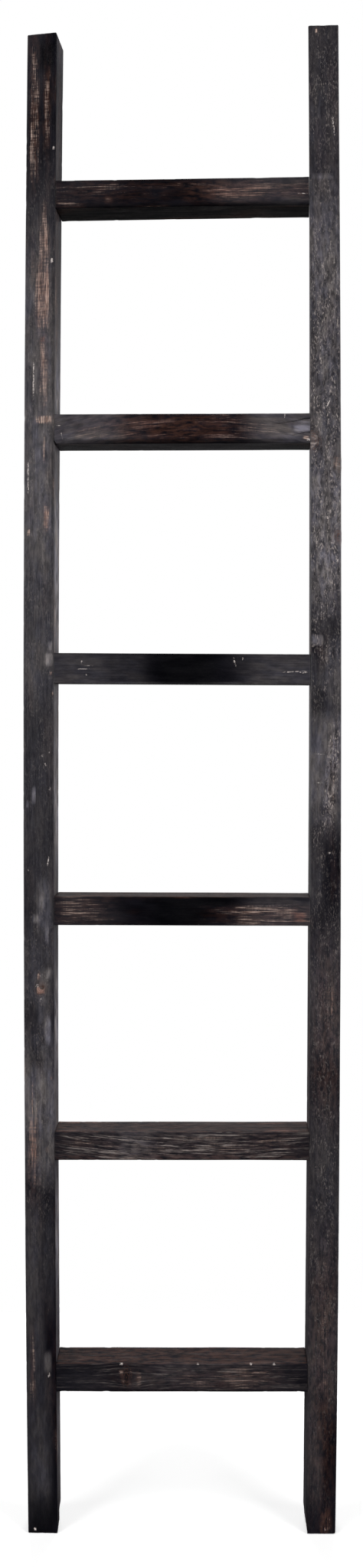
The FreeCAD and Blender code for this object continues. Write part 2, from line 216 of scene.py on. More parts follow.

# Marks on the front faces, each of a kind: wood that shows through, grey haze, fine scratches,
# bare chips, reddish wood, and black. Grey marks that span a whole face are haze and painted
# sheen. Black marks are paint that kept its full black, and painted shade across a rung's middle,
# along its lower edge and at the left foot.
# Rails: height above the floor, offset from the rail's middle. Rungs: offset from the ladder's
# middle, height above the rung's middle. Then length along the grain, width, strength and tilt.
MARK_KINDS = ("tan", "grey", "fine", "pale", "red", "black_and_shade")
MARKS = {
    "left_rail": {
        "tan": (
            (1826, -8.5, 180, 13, 0.62, 0), (1841, 7.5, 118, 10, 0.52, 0),
            (1690, 5, 52, 8, 0.55, 0), (1645, 5, 90, 13, 0.62, 0), (1592, 3.5, 92, 20, 0.9, 0),
            (1606, 9, 66, 5, 1.15, 0), (1588, -1, 56, 5, 1.1, 0), (1652, 6, 60, 15, 0.7, 0),
            (1640, -9, 70, 6, 0.35, 0), (1540, 5, 9, 8, 0.75, 0), (1500, 6, 84, 12, 0.78, 0),
            (1462, 7.5, 26, 5, 0.6, 0), (1437, 6, 11, 22, 0.95, 0), (1397, 6.5, 36, 4, 0.75, 0),
            (1311, 10, 36, 9, 0.9, 0), (1293, -13, 9, 4, 0.7, 0), (1112, 16, 5, 3.5, 0.9, 0),
            (1086, 18, 6, 3, 0.8, 0), (704, 2, 11, 11, 1.5, 0), (722, 0, 11, 4, 0.9, 0),
            (591, 16, 5, 4, 0.95, 0), (562, -9, 56, 3.5, 0.75, 0), (496, -8, 120, 15, 0.62, 0),
            (474, -8, 70, 17, 0.55, 0), (218, -11, 86, 7, 0.62, 0),
        ),
        # The face-wide grey marks are haze and painted sheen.
        "grey": (
            (1900, -10, 120, 26, 0.06, 0), (1440, 0, 500, 60, 0.36, 0), (1170, 0, 260, 60, 0.22, 0),
            (960, 0, 420, 60, 0.13, 0), (740, 0, 130, 60, 0.22, 0), (560, 0, 200, 60, 0.32, 0),
            (560, 0, 120, 60, 0.44, 0), (500, 4, 100, 40, 0.36, 0), (300, -10, 300, 30, 0.22, 0),
            (360, 8, 160, 24, 0.12, 0), (120, -6, 190, 36, 0.22, 0), (1130, 13, 17, 11, 1.0, 0),
            (1147, 15, 14, 5, 0.8, 0), (955, -6, 22, 5, 0.75, 0), (944, -14, 8, 4, 0.6, 0),
            (806, 6, 95, 22, 0.34, 0), (818, 4, 22, 9, 0.52, 0), (796, -2, 12, 13, 0.56, 0),
            (782, 10, 40, 7, 0.5, 0), (690, 8, 120, 20, 0.3, 0), (725, 13, 16, 9, 0.75, 0),
            (652, 11, 44, 9, 0.7, 0), (624, 7, 22, 13, 0.5, 0), (592, 12, 30, 7, 0.5, 0),
            (530, 11, 28, 7, 0.5, 0), (222, 8, 26, 10, 0.4, 0),
        ),
        "fine": ((1340, 0, 900, 44, 0.18, 0), (600, 0, 500, 44, 0.2, 0)),
        "pale": (
            (1640, 15.5, 6, 3.4, 1.0, 0), (1783, 17, 5, 2.4, 0.7, 0),
            (1487, -7.6, 56, 1.6, 0.55, 0), (1365, -14, 50, 2.4, 0.5, 0), (1006, 5, 4, 3, 0.4, 0),
            (1011, 14, 4, 3, 0.4, 0), (995, 9, 4, 3, 0.4, 0), (963, 14.6, 7, 2, 0.6, 0),
            (870, 12, 14, 1.8, 0.6, 12), (860, -13, 6, 2.4, 0.45, 0), (710, -2, 6, 4, 0.5, 30),
            (722, 0.6, 4, 3, 0.6, 0), (693, 3, 4, 3, 0.5, 0), (206, 10, 9, 4, 0.4, 0),
            (6, -10, 4, 4, 0.8, 0),
        ),
        "red": (
            (1600, 4, 200, 20, 0.3, 0), (1540, 5, 14, 9, 1.0, 0), (1311, 10, 36, 9, 0.4, 0),
            (706, 2, 18, 15, 0.7, 0), (484, -8, 110, 17, 0.6, 0), (498, 10, 7, 5, 0.8, 0),
        ),
        # Black marks; the one at the foot is painted shade.
        "black_and_shade": (
            (1560, 17.5, 240, 4, 0.45, 0), (1330, 18, 200, 3.4, 0.4, 0), (1900, 7, 34, 22, 0.8, 0),
            (708, 4, 6, 6, 0.85, 0), (622, -3, 36, 22, 0.4, 0), (12, 0, 80, 44, 0.7, 0),
        ),
    },
    "right_rail": {
        "tan": (
            (978, 8, 130, 14, 0.3, 4), (1932, -9, 5, 3, 0.9, 0), (1380, 14.5, 20, 7, 0.4, 0),
            (665, 4, 98, 24, 0.42, 0), (260, 2, 270, 10, 0.42, 0), (16, 7, 30, 12, 0.5, 0),
        ),
        # The face-wide grey marks are haze and painted sheen.
        "grey": (
            (1850, 0, 260, 60, 0.16, 0), (1560, 0, 420, 60, 0.38, 0), (1300, 0, 240, 60, 0.48, 0),
            (1110, 12, 110, 30, 0.26, 0), (1090, -10, 100, 30, 0.16, 0), (990, 0, 160, 60, 0.42, 0),
            (984, 9, 130, 12, 0.28, 4), (860, -14, 140, 24, 0.15, 0), (700, 0, 200, 60, 0.18, 0),
            (440, 0, 300, 60, 0.16, 0), (250, 0, 180, 60, 0.16, 0), (120, -12, 160, 26, 0.14, 0),
            (1746, -3, 9, 32, 0.45, 0), (1154, -10.5, 13, 15, 0.75, 0),
        ),
        "fine": (
            (1410, 0, 630, 44, 0.95, 0), (978, 7, 135, 16, 1.6, 4), (901, -10.5, 27, 11, 0.9, 0),
            (1850, 0, 250, 44, 0.35, 0), (560, 0, 900, 44, 0.3, 0),
        ),
        "pale": (
            (1812, 12, 31, 2.6, 0.5, -6), (1457, 3.5, 11, 1.6, 0.85, 25),
            (1275, -7.5, 9, 1.8, 0.55, 30), (1256, 14.5, 9, 1.8, 0.55, 30),
            (1008, -8.5, 2.6, 18, 0.35, 0), (970, -8.5, 2.6, 10, 0.35, 0), (881, 5, 4, 3.5, 0.6, 0),
            (5, -7, 2.5, 3, 0.35, 0), (5, 6, 2.5, 4, 0.45, 0),
        ),
        "red": (
            (1408, -14, 26, 10, 0.8, 0), (1287, 16, 16, 9, 0.9, 0), (16, 6, 40, 16, 0.7, 0),
            (650, 2, 230, 36, 0.55, 0), (210, 0, 340, 34, 0.6, 0),
        ),
        "black_and_shade": ((1075, -8, 36, 20, 0.5, 0),),
    },
    "rung_1": {
        "tan": (
            (-80, 4, 170, 30, 0.34, 0), (-110, 8, 50, 12, 0.4, 0), (-10, 9, 130, 9, 0.62, 0),
            (-95, -7, 12, 12, 0.6, 0), (-145, -14, 38, 6, 0.75, 0), (75, 1, 100, 26, 0.56, 0),
            (52, -1, 34, 12, 0.7, 0), (145, 0, 60, 24, 0.36, 0),
        ),
        # The face-wide grey marks are haze and painted sheen.
        "grey": ((105, 0, 130, 60, 0.17, 0), (-125, 0, 90, 60, 0.04, 0)),
        "pale": ((156, -4, 17, 1.4, 0.5, 0),),
        "red": ((60, 1, 120, 28, 0.7, 0), (134, 0, 60, 20, 0.6, 0)),
        # Painted shade: black along the lower edge and across the middle.
        "black_and_shade": ((0, -18, 340, 10, 0.9, 0), (-20, -8, 120, 16, 0.5, 0), (-18, 4, 126, 40, 0.48, 0)),
    },
    "rung_2": {
        "tan": ((0, 0, 330, 40, 0.34, 0), (158, -13, 9, 6, 1.0, 0)),
        # The face-wide grey marks are haze and painted sheen.
        "grey": (
            (-130, 0, 110, 60, 0.34, 0), (130, 0, 90, 60, 0.36, 0), (-70, 0, 50, 60, 0.06, 0),
            (153, 1.5, 24, 15, 0.95, 0),
        ),
        "pale": (
            (161, -15, 5, 3, 0.6, 0), (131, 15, 2, 8, 0.5, 0), (-158, 4, 7, 1.4, 0.6, 0),
            (-154, -8, 2, 12, 0.4, 10),
        ),
        "red": ((-20, 2, 200, 34, 0.8, 0),),
        # Painted shade: black along the lower edge.
        "black_and_shade": ((0, -17, 340, 7, 0.9, 0),),
    },
    "rung_3": {
        # The face-wide grey marks are haze and painted sheen.
        "grey": (
            (-130, 0, 100, 60, 0.18, 0), (-72, 0, 56, 60, 0.13, 0), (128, 0, 114, 60, 0.2, 0),
            (0, -18.5, 330, 3, 0.3, 0),
        ),
        "pale": (
            (-125, -1, 24, 2, 0.42, 0), (-120, 3, 16, 1.4, 0.42, 0), (-128, 8, 2.4, 5, 0.5, 0),
            (-122, -8, 2.4, 4, 0.45, 0), (67, 9, 2.4, 13, 0.55, 15), (77, 13, 2.6, 4, 0.5, 0),
            (144, -3, 36, 2, 0.42, 3), (154, -4, 12, 3, 0.4, 0), (121, -16, 2.6, 2.6, 0.4, 0),
        ),
        # Painted shade: black across the middle.
        "black_and_shade": ((-8, 0, 180, 60, 0.42, 0), (2, 0, 130, 60, 0.75, 0), (5, 0, 106, 60, 0.97, 0)),
    },
    "rung_4": {
        "tan": (
            (-126, 0, 74, 34, 0.4, 0), (40, -4, 80, 24, 0.34, 0), (115, -5, 110, 28, 0.6, 0),
            (150, -7, 22, 15, 0.7, 0),
        ),
        # The face-wide grey marks are haze and painted sheen.
        "grey": ((-120, 0, 90, 60, 0.08, 0), (130, -5, 110, 44, 0.2, 0)),
        "pale": ((112, 3, 90, 20, 0.21, 0),),
        "red": ((150, -7, 22, 17, 1.0, 0),),
        # Painted shade: black across the middle.
        "black_and_shade": (
            (-22, 0, 160, 60, 0.45, 0), (-8, 0, 120, 60, 0.8, 0), (-4, 0, 98, 60, 0.97, 0),
            (22, 12, 112, 15, 0.95, 0),
        ),
    },
    "rung_5": {
        "tan": ((0, 0, 330, 36, 0.34, 0),),
        # The face-wide grey marks are haze and painted sheen.
        "grey": ((0, 0, 330, 60, 0.1, 0), (-58, 0, 60, 60, 0.22, 0)),
        "fine": ((0, 0, 330, 38, 1.0, 0),),
        "red": ((0, -14, 330, 8, 0.8, 0),),
        # Painted shade: black along the lower edge.
        "black_and_shade": ((0, -18.5, 330, 4, 0.9, 0),),
    },
    "rung_6": {
        "tan": (
            (-78, 2, 5, 22, 0.62, 12), (-67, 0, 5, 22, 0.5, -10), (-56, -1, 8, 24, 0.5, 0),
            (20, 0, 60, 30, 0.38, 0), (77, 0, 105, 32, 0.48, 0),
        ),
        # The face-wide grey marks are haze and painted sheen.
        "grey": ((30, 0, 230, 60, 0.12, 0), (-125, 0, 80, 60, 0.06, 0)),
        "fine": ((0, 0, 330, 38, 0.3, 0),),
        "pale": (
            (-79, 17.5, 5, 3, 0.6, 0), (21, 17.2, 4, 2.2, 0.45, 0), (90, 17.6, 5, 2, 0.5, 0),
            (120, 17.3, 4, 2.4, 0.4, 0),
        ),
        "red": ((20, 0, 230, 34, 0.3, 0),),
        # The long black mark along the lower edge is painted shade.
        "black_and_shade": ((-72, 0, 5, 26, 0.5, 0), (0, -18, 330, 5, 0.9, 0)),
    },
}

# The attributes that carry the wear, the painted shade and the painted light to the paint, with
# four kinds in each.
WEAR_AND_LIGHT_LAYERS = {
    "streaks": ("tan", "grey", "fine", "black_and_shade"),
    "spots": ("pale", "red", "knot", "split"),
}

# ---------------------------------------------------------------- paint and steel

# Noise in the paint: turns per metre across the grain and along it, detail, and the values between
# which it rises from 0 to 1.
GRAIN_NOISES = {
    "lines": (520.0, 16.0, 4.0, 0.38, 0.62),
    "threads": (1300.0, 70.0, 2.0, 0.36, 0.64),
    "chatter": (60.0, 400.0, 3.0, 0.36, 0.64),
    "blotch": (90.0, 24.0, 4.0, 0.34, 0.66),
    "grit": (620.0, 420.0, 3.0, 0.34, 0.66),
    "clumps": (110.0, 32.0, 3.0, 0.38, 0.62),
}
MOTTLE_NOISE = (260.0, 70.0, 5.0, 0.34, 0.66)
DASH_NOISE = (4.0, 0.50, 0.66)  # its turns depend on the timber
SWIRL_TURNS, SWIRL_DETAIL = (80, 80, 50), 2.0
NOISE_ROUGHNESS = 0.6

# Each paint: turns of its scratches per metre, across and along, how much the plane's marks across
# the grain break up its streaks, and how far its scratches swirl, in metres.
RAIL_PAINT = ((760.0, 230.0), 0.24, 0.008)
RUNG_PAINT = ((620.0, 14.0), 0.08, 0.002)

# Where the wood shows: what each pattern adds, how much it takes where nothing and everything is
# worn, and how soon the paint's edge gives way to bare wood.
STREAK_SHARES = {"lines": 0.65, "threads": 0.15, "blotch": 0.20}
WEAR_NEEDED, WEAR_EDGE = (0.98, 0.10), (-0.04, 0.58)
WOOD, RED_WOOD, RED_WOOD_SHARE = ("654e46", "c9afa2"), "6e4038", 0.8

# The paint itself, its full black, which also stands in for painted shade, and the brown where it
# is rubbed thin.
PAINT, BLACK_AND_SHADE, BLACK_SHARE = ("08070e", "110f19"), "010103", 0.9
RUBBED, RUBBED_SHARE = "56392e", 0.7

# The haze, which also carries painted light and sheen: its colours, its mean, and how it follows
# the mottle, the scratches and the lines.
HAZE_AND_LIGHT = ("817e89", "908987")
HAZE_MEAN, HAZE_MOTTLED, HAZE_SCRATCHED, HAZE_LINED = 0.86, (-0.5, 0.5), (0.4, 1.1), (0.8, 1.1)

# Scratches and chips, and how far the noise breaks them up.
SCRATCH, SCRATCH_CLUMPED, SCRATCH_THREADED = "c0b4ae", (0.1, 1.0), (0.4, 1.1)
CHIP, CHIP_GRITTY, CHIP_THREADED = "d6cbc6", (0.45, 1.4), (0.8, 1.2)
CHIP_EDGE, CHIP_COVER = (0.22, 0.62), 0.85

# The rings of a knot, and the painted shade in a split.
RING, RING_TURNS, RING_MOTTLED, RING_SHARE = "6b4a3a", 26.0, 5.0, 0.45
RING_START, RING_EDGE = (0.0, 0.4), (-0.2, 0.9)
SPLIT_SHADE, SPLIT_EDGE = "020202", (0.1, 0.8)

# The relief in the paint, and its gloss.
RELIEF_SHARES = {
    "lines": 0.5, "dashes": 0.25, "chatter": 0.15, "threads": 0.2, "worn": -0.3, "chips": -0.4,
}
BUMP_STRENGTH, BUMP_HEIGHT = 0.5, 0.0004
ROUGHNESS, WORN_ROUGHER, HAZE_ROUGHER, SPECULAR = (0.30, 0.42), 0.25, 0.2, 0.2

# Screw heads: paint, the steel where a driver bit, and the grime that says where.
STEEL, STEEL_NOISE, STEEL_DETAIL = ("19191b", "8d8a86"), 900.0, 4.0
STEEL_BRIGHT, STEEL_ROUGH = (0.50, 0.62), (0.3, 0.7, 0.5)

# The Mix node's colour sockets share their names with others, so they go by number.
MIX_SHARE, MIX_FIRST, MIX_SECOND, MIX_RESULT = 0, 6, 7, 2


def smooth_step(value, low, high):
    """From 0 to 1 as a value goes from low to high, level at both ends."""
    part = np.clip((value - low) / (high - low), 0, 1)
    return part * part * (3 - 2 * part)


def noise(points, seed):
    """Smooth random values from -1 to 1, one for each 3-D point, the same on every run."""
    cell = np.floor(points).astype(np.int64)
    part = smooth_step(points - cell, 0, 1)
    total = np.zeros(len(points))
    for corner in itertools.product((0, 1), repeat=3):
        x, y, z = (cell + corner).T
        mixed = (x * 73856093) ^ (y * 19349663) ^ (z * 83492791) ^ (seed * 2654435761)
        mixed = (mixed ^ (mixed >> 15)) * 2246822519 & 0xFFFFFFFF
        mixed = (mixed ^ (mixed >> 13)) * 3266489917 & 0xFFFFFFFF
        value = ((mixed ^ (mixed >> 16)) & 0xFFFF) / 32767.5 - 1
        total += value * np.prod(np.where(corner, part, 1 - part), axis=1)
    return total


def turned(first, second, angle):
    """Two coordinates after a turn from the second axis towards the first."""
    cosine, sine = np.cos(angle), np.sin(angle)
    return first * cosine + second * sine, second * cosine - first * sine


def facing(normal, axis, side):
    """How fully each point faces one way along an axis, from 0 to 1."""
    return smooth_step(side * normal[:, axis], *FACING)


# ---------------------------------------------------------------- timbers


class Timber:
    """A rail or a rung in its own millimetres: across its face, front to back, along its grain.

    A rail is measured along its grain from the foot, and a rung from the middle."""

    def __init__(self, name, seed):
        self.name = name
        self.seed = seed
        self.upright = name in RAILS
        low, high = (np.array(corner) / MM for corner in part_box(name))
        self.middle = (low + high) / 2
        self.front = low[1]
        self.underside = face_line(name, -1)
        self.top = face_line(name, 1)
        if name in SAWN_TOPS:
            slope = SAWN_TOPS[name]
            self.top = [slope, self.top_at(high[0]) - slope * high[0]]
        self.size = high - low
        if not self.upright:
            thick = self.top_at(self.middle[0]) - np.polyval(self.underside, self.middle[0])
            self.size = np.array([thick, self.size[1], self.size[0]])
        self.split_floors = []

    def top_at(self, x):
        return np.polyval(self.top, x)

    def pattern(self, points, name):
        """One of the random patterns at each point."""
        spacing, offset, limits = PATTERNS[name]
        values = noise(points / spacing, self.seed + offset)
        return smooth_step(values, *limits) if limits else values

    def front_share(self, points):
        """1 on the front face and 0 behind it."""
        none, full = (self.size[1] / 2 - behind for behind in FRONT_FADE)
        return smooth_step(-points[:, 1], none, full)

    def to_butt(self, along):
        """How far a place along a rung is from the nearer end."""
        return self.size[2] / 2 - np.abs(along)

    def shape(self):
        """Vertices, normals and faces of the worn board."""
        face_cells, side_cells, cell_long = RAIL_CELLS if self.upright else RUNG_CELLS
        place, lean, quads = box_skin((face_cells, side_cells, round(self.size[2] / cell_long)))
        normal = lean / np.linalg.norm(lean, axis=1)[:, None]
        half = self.size / 2
        centre = (0, 0, half[2]) if self.upright else (0, 0, 0)
        radius = self.edge_radius(place * half + centre)[:, None]
        points = place * (half - radius) + radius * normal + centre
        points += normal * self.relief(points)[:, None]
        if self.name in FOOT_WEAR:
            self.wear_foot(points)
        if self.name == SPLIT_RUNG:
            self.open_splits(points, self.size[0] / face_cells)
            self.round_corner(points)
        if self.upright:
            return self.sink_holes(points, normal, quads)
        return points, normal, quads.tolist()

    def edge_radius(self, points):
        """Eased edges that are worn unevenly, with a few dings and nicks."""
        wander = self.pattern(points, "edge_wander")
        dings = np.clip(self.pattern(points, "edge_dings") - DING_LEVEL, 0, 1) * DING_DEPTH
        radius = ARRIS * (1 + ARRIS_WANDER * wander) + dings
        for height, side, reach, depth in NICKS.get(self.name, ()):
            near = np.exp(-(((points[:, 2] - height) / reach) ** 2)) * (side * points[:, 0] > 0)
            radius = radius + depth * near
        if self.upright:
            return radius
        grown = smooth_step(self.to_butt(points[:, 2]), 0, ARRIS_GROWTH)
        return ARRIS_AT_BUTT + (radius - ARRIS_AT_BUTT) * grown

    def relief(self, points):
        """How far the surface stands off the flat: unevenness, raised grain, knots and chips."""
        height = UNEVENNESS * self.pattern(points, "unevenness")
        height += GRAIN_RISE * self.pattern(points, "raised_grain")
        if not self.upright:
            height *= smooth_step(self.to_butt(points[:, 2]), 0, BUTT_FLAT)
        front_half = smooth_step(-points[:, 1], *FRONT_HALF)
        for knot in KNOTS.get(self.name, ()):
            reach = knot_reach(points, knot)
            rings = KNOT_RISE + KNOT_RIPPLE * np.cos(reach * KNOT_RINGS)
            height += front_half * rings * np.exp(-(reach**2))
        return height - CHIP_DEPTH * self.front_mark(points, "pale")

    def wear_foot(self, points):
        """The broken or worn inner corner of a foot."""
        inner, high, wide, deep = FOOT_WEAR[self.name]
        share = np.clip(1 - points[:, 2] / high, 0, 1)
        rough = FOOT_ROUGHNESS * self.pattern(points, "foot_roughness")
        most = self.size[0] / 2 - (wide + rough) * share
        gone = (points[:, 1] > self.size[1] / 2 - deep) & (inner * points[:, 0] > most)
        points[gone, 0] = inner * most[gone]

    def open_splits(self, points, cell):
        """Narrow wedges that open at the rung's right end."""
        front = points[:, 1] < -self.size[1] / 2 + SPLIT_FACE
        shallow, deep = SPLIT_DEPTH
        for height, mouth, long, fall in SPLITS:
            share = 1 - (self.size[2] / 2 - points[:, 2]) / long
            wander = SPLIT_WANDER * self.pattern(points, "split_wander")
            path = height - fall * (1 - share) + wander
            row = np.round((points[:, 0] - path) / cell)
            inside = front & (share > 0)
            floor, lips = inside & (row == 0), inside & (np.abs(row) == 1)
            gape = SPLIT_TIP + mouth / 2 * share
            points[lips, 0] = path[lips] + row[lips] * gape[lips]
            points[floor, 0] = path[floor]
            points[floor, 1] += shallow + (deep - shallow) * share[floor]
            self.split_floors += np.flatnonzero(floor).tolist()

    def round_corner(self, points):
        """The lower left corner of the face, which is worn round."""
        face = self.size[1] / 2
        front = smooth_step(-points[:, 1], face - CORNER_FADE, face)
        from_end, up = points[:, 2] + self.size[2] / 2, points[:, 0] + self.size[0] / 2
        inward = np.clip(WORN_CORNER - np.stack([from_end, up]), 0, None)
        reach = np.hypot(*inward)
        gone = front * np.clip(reach - WORN_CORNER, 0, None) / np.maximum(reach, WORN_CORNER)
        points[:, 2] += gone * inward[0]
        points[:, 0] += gone * inward[1]

    def screw_heights(self):
        side = self.name.split("_")[0]
        for rung in RUNGS:
            low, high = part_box(f"{rung}_{side}_screw")
            yield (low[2] + high[2]) / 2 / MM

    def sink_holes(self, points, normal, quads):
        """Countersunk holes in the outer side, let in where a few cells of the lattice are cut."""
        outer = -1 if self.name == RAILS[0] else 1
        outside = (outer * normal[quads][:, :, 0] > OUTER_SIDE).all(axis=1)
        middles = points[quads].mean(axis=1)
        keep = np.ones(len(quads), dtype=bool)
        added = []
        for height in self.screw_heights():
            near = (np.abs(middles[:, 1:] - (0, height)) < HOLE_REACH).all(axis=1)
            cut = outside & near
            keep &= ~cut
            loop = outline(quads[cut])
            face = points[loop, 0].mean()
            angle = np.arctan2(points[loop, 2] - height, points[loop, 1])
            for radius, depth in SCREW_HOLE:
                x = np.full(len(loop), face - outer * depth)
                y, z = radius * np.cos(angle), height + radius * np.sin(angle)
                deeper = np.arange(len(points), len(points) + len(loop))
                wall = [loop, np.roll(loop, -1), np.roll(deeper, -1), deeper]
                added += np.stack(wall, axis=1).tolist()
                points = np.concatenate([points, np.stack([x, y, z], axis=1)])
                loop = deeper
            bottom = len(points)
            points = np.concatenate([points, [[x[0], 0.0, height]]])
            added += [[first, second, bottom] for first, second in zip(loop, np.roll(loop, -1))]
        extra = len(points) - len(normal)
        normal = np.concatenate([normal, np.tile([outer, 0.0, 0.0], (extra, 1))])
        return points, normal, quads[keep].tolist() + added

    def front_mark(self, points, kind):
        """Strength of one kind of mark at each point of the front face."""
        total = np.zeros(len(points))
        for along, across, length, width, strength, tilt in MARKS[self.name].get(kind, ()):
            up, side = points[:, 2] - along, points[:, 0] - across
            up, side = turned(up, side, math.radians(tilt))
            flat_bell = np.exp(-((2 * up / length) ** 4) - (2 * side / width) ** 4)
            total = np.maximum(total, strength * flat_bell)
        return total * self.front_share(points)

    def wear_and_painted_light(self, points, normal):
        """All kinds of wear, with the painted light and shade, at each point, from the marks in
        front and at random elsewhere.
        """
        found = {kind: self.front_mark(points, kind) for kind in MARK_KINDS}
        hidden = 1 - self.front_share(points)
        # Painted shade: the underside of rung 1 is made full black.
        found["black_and_shade"] += PAINTED_SHADE_BELOW.get(self.name, 0.0) * hidden * facing(normal, 0, -1)
        wearing = 1 - found["black_and_shade"]

        freckles = FRECKLES.get(self.name, USUAL_FRECKLES)
        found["tan"] += HIDDEN_TAN * hidden * self.pattern(points, "rubbing")
        found["tan"] += freckles * self.pattern(points, "freckles")
        found["tan"] *= wearing

        # Haze on the faces behind the front, which on the left rail's inner side is painted light.
        heights, hazes_and_light = zip(*HIDDEN_HAZE_AND_LIGHT.get(self.name, USUAL_HAZE))
        found["grey"] += hidden * np.interp(points[:, 2], heights, hazes_and_light)
        found["grey"] += REAR_GREY * facing(normal, 1, 1)
        smears = SMEARED * self.pattern(points, "smears")
        patches = PATCHY * found["grey"] * self.pattern(points, "patches")
        found["grey"] *= (1 + smears + patches) * wearing

        found["fine"] += HIDDEN_FINE * hidden
        found["red"] += HIDDEN_RED * hidden * self.pattern(points, "redness")
        if not self.upright:
            found["red"] += TOP_RED * facing(normal, 0, 1)
            found["tan"] += TOP_TAN * facing(normal, 0, 1)
        found["tan"] += EDGE_TAN * self.edge_share(points) * self.pattern(points, "scuffs")

        found["knot"] = np.zeros(len(points))
        for knot in KNOTS.get(self.name, ()):
            near = np.clip(1 - knot_reach(points, knot) / KNOT_FADE, 0, 1)
            found["knot"] = np.maximum(found["knot"], (1 - hidden) * near)
        # Split floors, which the paint makes near black as painted shade.
        found["split"] = np.zeros(len(points))
        found["split"][self.split_floors] = 1
        return found

    def edge_share(self, points):
        """1 on the long edges and 0 on the faces between them."""
        past = np.abs(points[:, :2]) - self.size[:2] / 2
        return smooth_step(past.min(axis=1), -EDGE_BAND, 0)

    def grain(self, points):
        """Where each point lies in the board's own wood, whose fibres flow round the knots."""
        flowed = points.copy()
        for along, across, long, wide in KNOTS.get(self.name, ()):
            side, up = points[:, 0] - across, (points[:, 2] - along) / KNOT_FLOW
            flowed[:, 0] -= side * long * wide / (side**2 + up**2 + long * wide)
        crown, fall = ARCHES.get(self.name, (0.0, 0.0))
        flowed[:, 0] += fall * (points[:, 2] - crown) ** 2
        flowed[:, 0] += GRAIN_WANDER * self.pattern(points, "grain_wander")
        return (flowed + BOARD_SHIFT * self.seed) * MM

    def seat(self, points):
        """From the timber's own millimetres to the ladder's."""
        across, deep, along = points.T
        if self.upright:
            x, share = self.middle[0] + across, along / self.size[2]
        else:
            x, share = self.middle[0] + along, across / self.size[0] + 0.5
        foot = np.polyval(self.underside, x)
        z = foot + share * (self.top_at(x) - foot)
        return np.stack([x, self.middle[1] + deep, z], axis=1)

    def settle(self, points):
        """The wind of the rails, which the rungs' ends follow, and the bow of the frame.

        The bow keeps the frame's mean width, because the mean of the squared share is a third."""
        x, y, z = points.T
        share = (z - FRAME_MIDDLE) / FRAME_HALF
        turn = np.radians(np.polyval(WIND[::-1], share))
        deep = y - self.front
        if self.upright:
            side, deep = turned(x - self.middle[0], deep, turn)
            x, y = self.middle[0] + side, self.front + deep
        else:
            half_long = self.size[2] / 2
            rail_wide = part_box(RAILS[1])[1][0] / MM - half_long
            fading = 1 - smooth_step(self.to_butt(x), 0, WIND_FADE)
            y = y + x / half_long * rail_wide / 2 * np.sin(turn)
            x = x + deep * np.sin(turn) * fading
        x = x * (1 + BOW * (1 / 3 - share**2))
        return np.stack([x, y, z], axis=1)


def knot_reach(points, knot):
    """How far each point is from a knot's middle, in radii of the knot."""
    along, across, long, wide = knot
    return np.hypot((points[:, 0] - across) / wide, (points[:, 2] - along) / long)


def face_line(name, side):
    """A node's top (1) or underside (-1) as a line, height against x, read from the CAD mesh."""
    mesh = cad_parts[name].data
    flats = [face for face in mesh.polygons if face.normal.z * side > LARGE_FLAT]
    largest = max(flats, key=lambda face: face.area)
    corners = [mesh.vertices[index].co / MM for index in largest.vertices]
    return np.polyfit([corner.x for corner in corners], [corner.z for corner in corners], 1)


def outline(quads):
    """The vertices round a patch of quads, in the order that its outer edges run."""
    edges = {edge for quad in quads.tolist() for edge in zip(quad, quad[1:] + quad[:1])}
    following = {first: second for first, second in edges if (second, first) not in edges}
    loop = [min(following)]
    while following[loop[-1]] != loop[0]:
        loop.append(following[loop[-1]])
    return np.array(loop)


def box_skin(cells):
    """Lattice over the six sides of a box with arcs at its edges.

    Gives each vertex's place on the flats, from -1 to 1 on each axis, how far it leans out on each
    axis, and the quads."""
    bend = np.tan(np.radians(ARC_STEPS))
    places, leans = [], []
    for count in cells:
        flat = np.linspace(-1, 1, count + 1)
        places.append(np.concatenate([-np.ones(len(bend)), flat, np.ones(len(bend))]))
        leans.append(np.concatenate([-bend[::-1], np.zeros(len(flat)), bend]))
    shape = tuple(len(line) for line in places)
    surface = np.zeros(shape, dtype=bool)
    for axis in range(3):
        np.moveaxis(surface, axis, 0)[[0, -1]] = True
    number = np.full(shape, -1)
    number[surface] = np.arange(surface.sum())
    quads = []
    for axis in range(3):
        for end in (0, -1):
            sheet = np.moveaxis(number, axis, 0)[end]
            corners = (sheet[:-1, :-1], sheet[1:, :-1], sheet[1:, 1:], sheet[:-1, 1:])
            quad = np.stack(corners, axis=-1).reshape(-1, 4)
            quads.append(quad[:, ::-1] if (end == 0) != (axis == 1) else quad)
    index = np.argwhere(surface)
    place = np.stack([places[axis][index[:, axis]] for axis in range(3)], axis=1)
    lean = np.stack([leans[axis][index[:, axis]] for axis in range(3)], axis=1)
    return place, lean, np.concatenate(quads)


def new_object(name, points, faces, material):
    mesh = bpy.data.meshes.new(name)
    mesh.from_pydata(points.tolist(), [], faces)
    mesh.shade_smooth()
    mesh.materials.append(material)
    made = bpy.data.objects.new(name, mesh)
    bpy.context.scene.collection.objects.link(made)
    return made


def set_attribute(mesh, name, kind, values):
    layer = mesh.attributes.new(name, kind, "POINT")
    field = "vector" if kind == "FLOAT_VECTOR" else "color"
    layer.data.foreach_set(field, np.ascontiguousarray(values, dtype=np.float32).ravel())


def make_timber(name, seed, material):
    timber = Timber(name, seed)
    points, normal, faces = timber.shape()
    placed = timber.settle(timber.seat(points)) * MM
    made = new_object(f"worn_{name}", placed, faces, material)
    set_attribute(made.data, "grain", "FLOAT_VECTOR", timber.grain(points))
    wear_and_painted_light = timber.wear_and_painted_light(points, normal)
    for layer, kinds in WEAR_AND_LIGHT_LAYERS.items():
        values = np.stack([wear_and_painted_light[kind] for kind in kinds], axis=1)
        set_attribute(made.data, layer, "FLOAT_COLOR", values)
    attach(made, "root")
    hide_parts(name)
    return timber


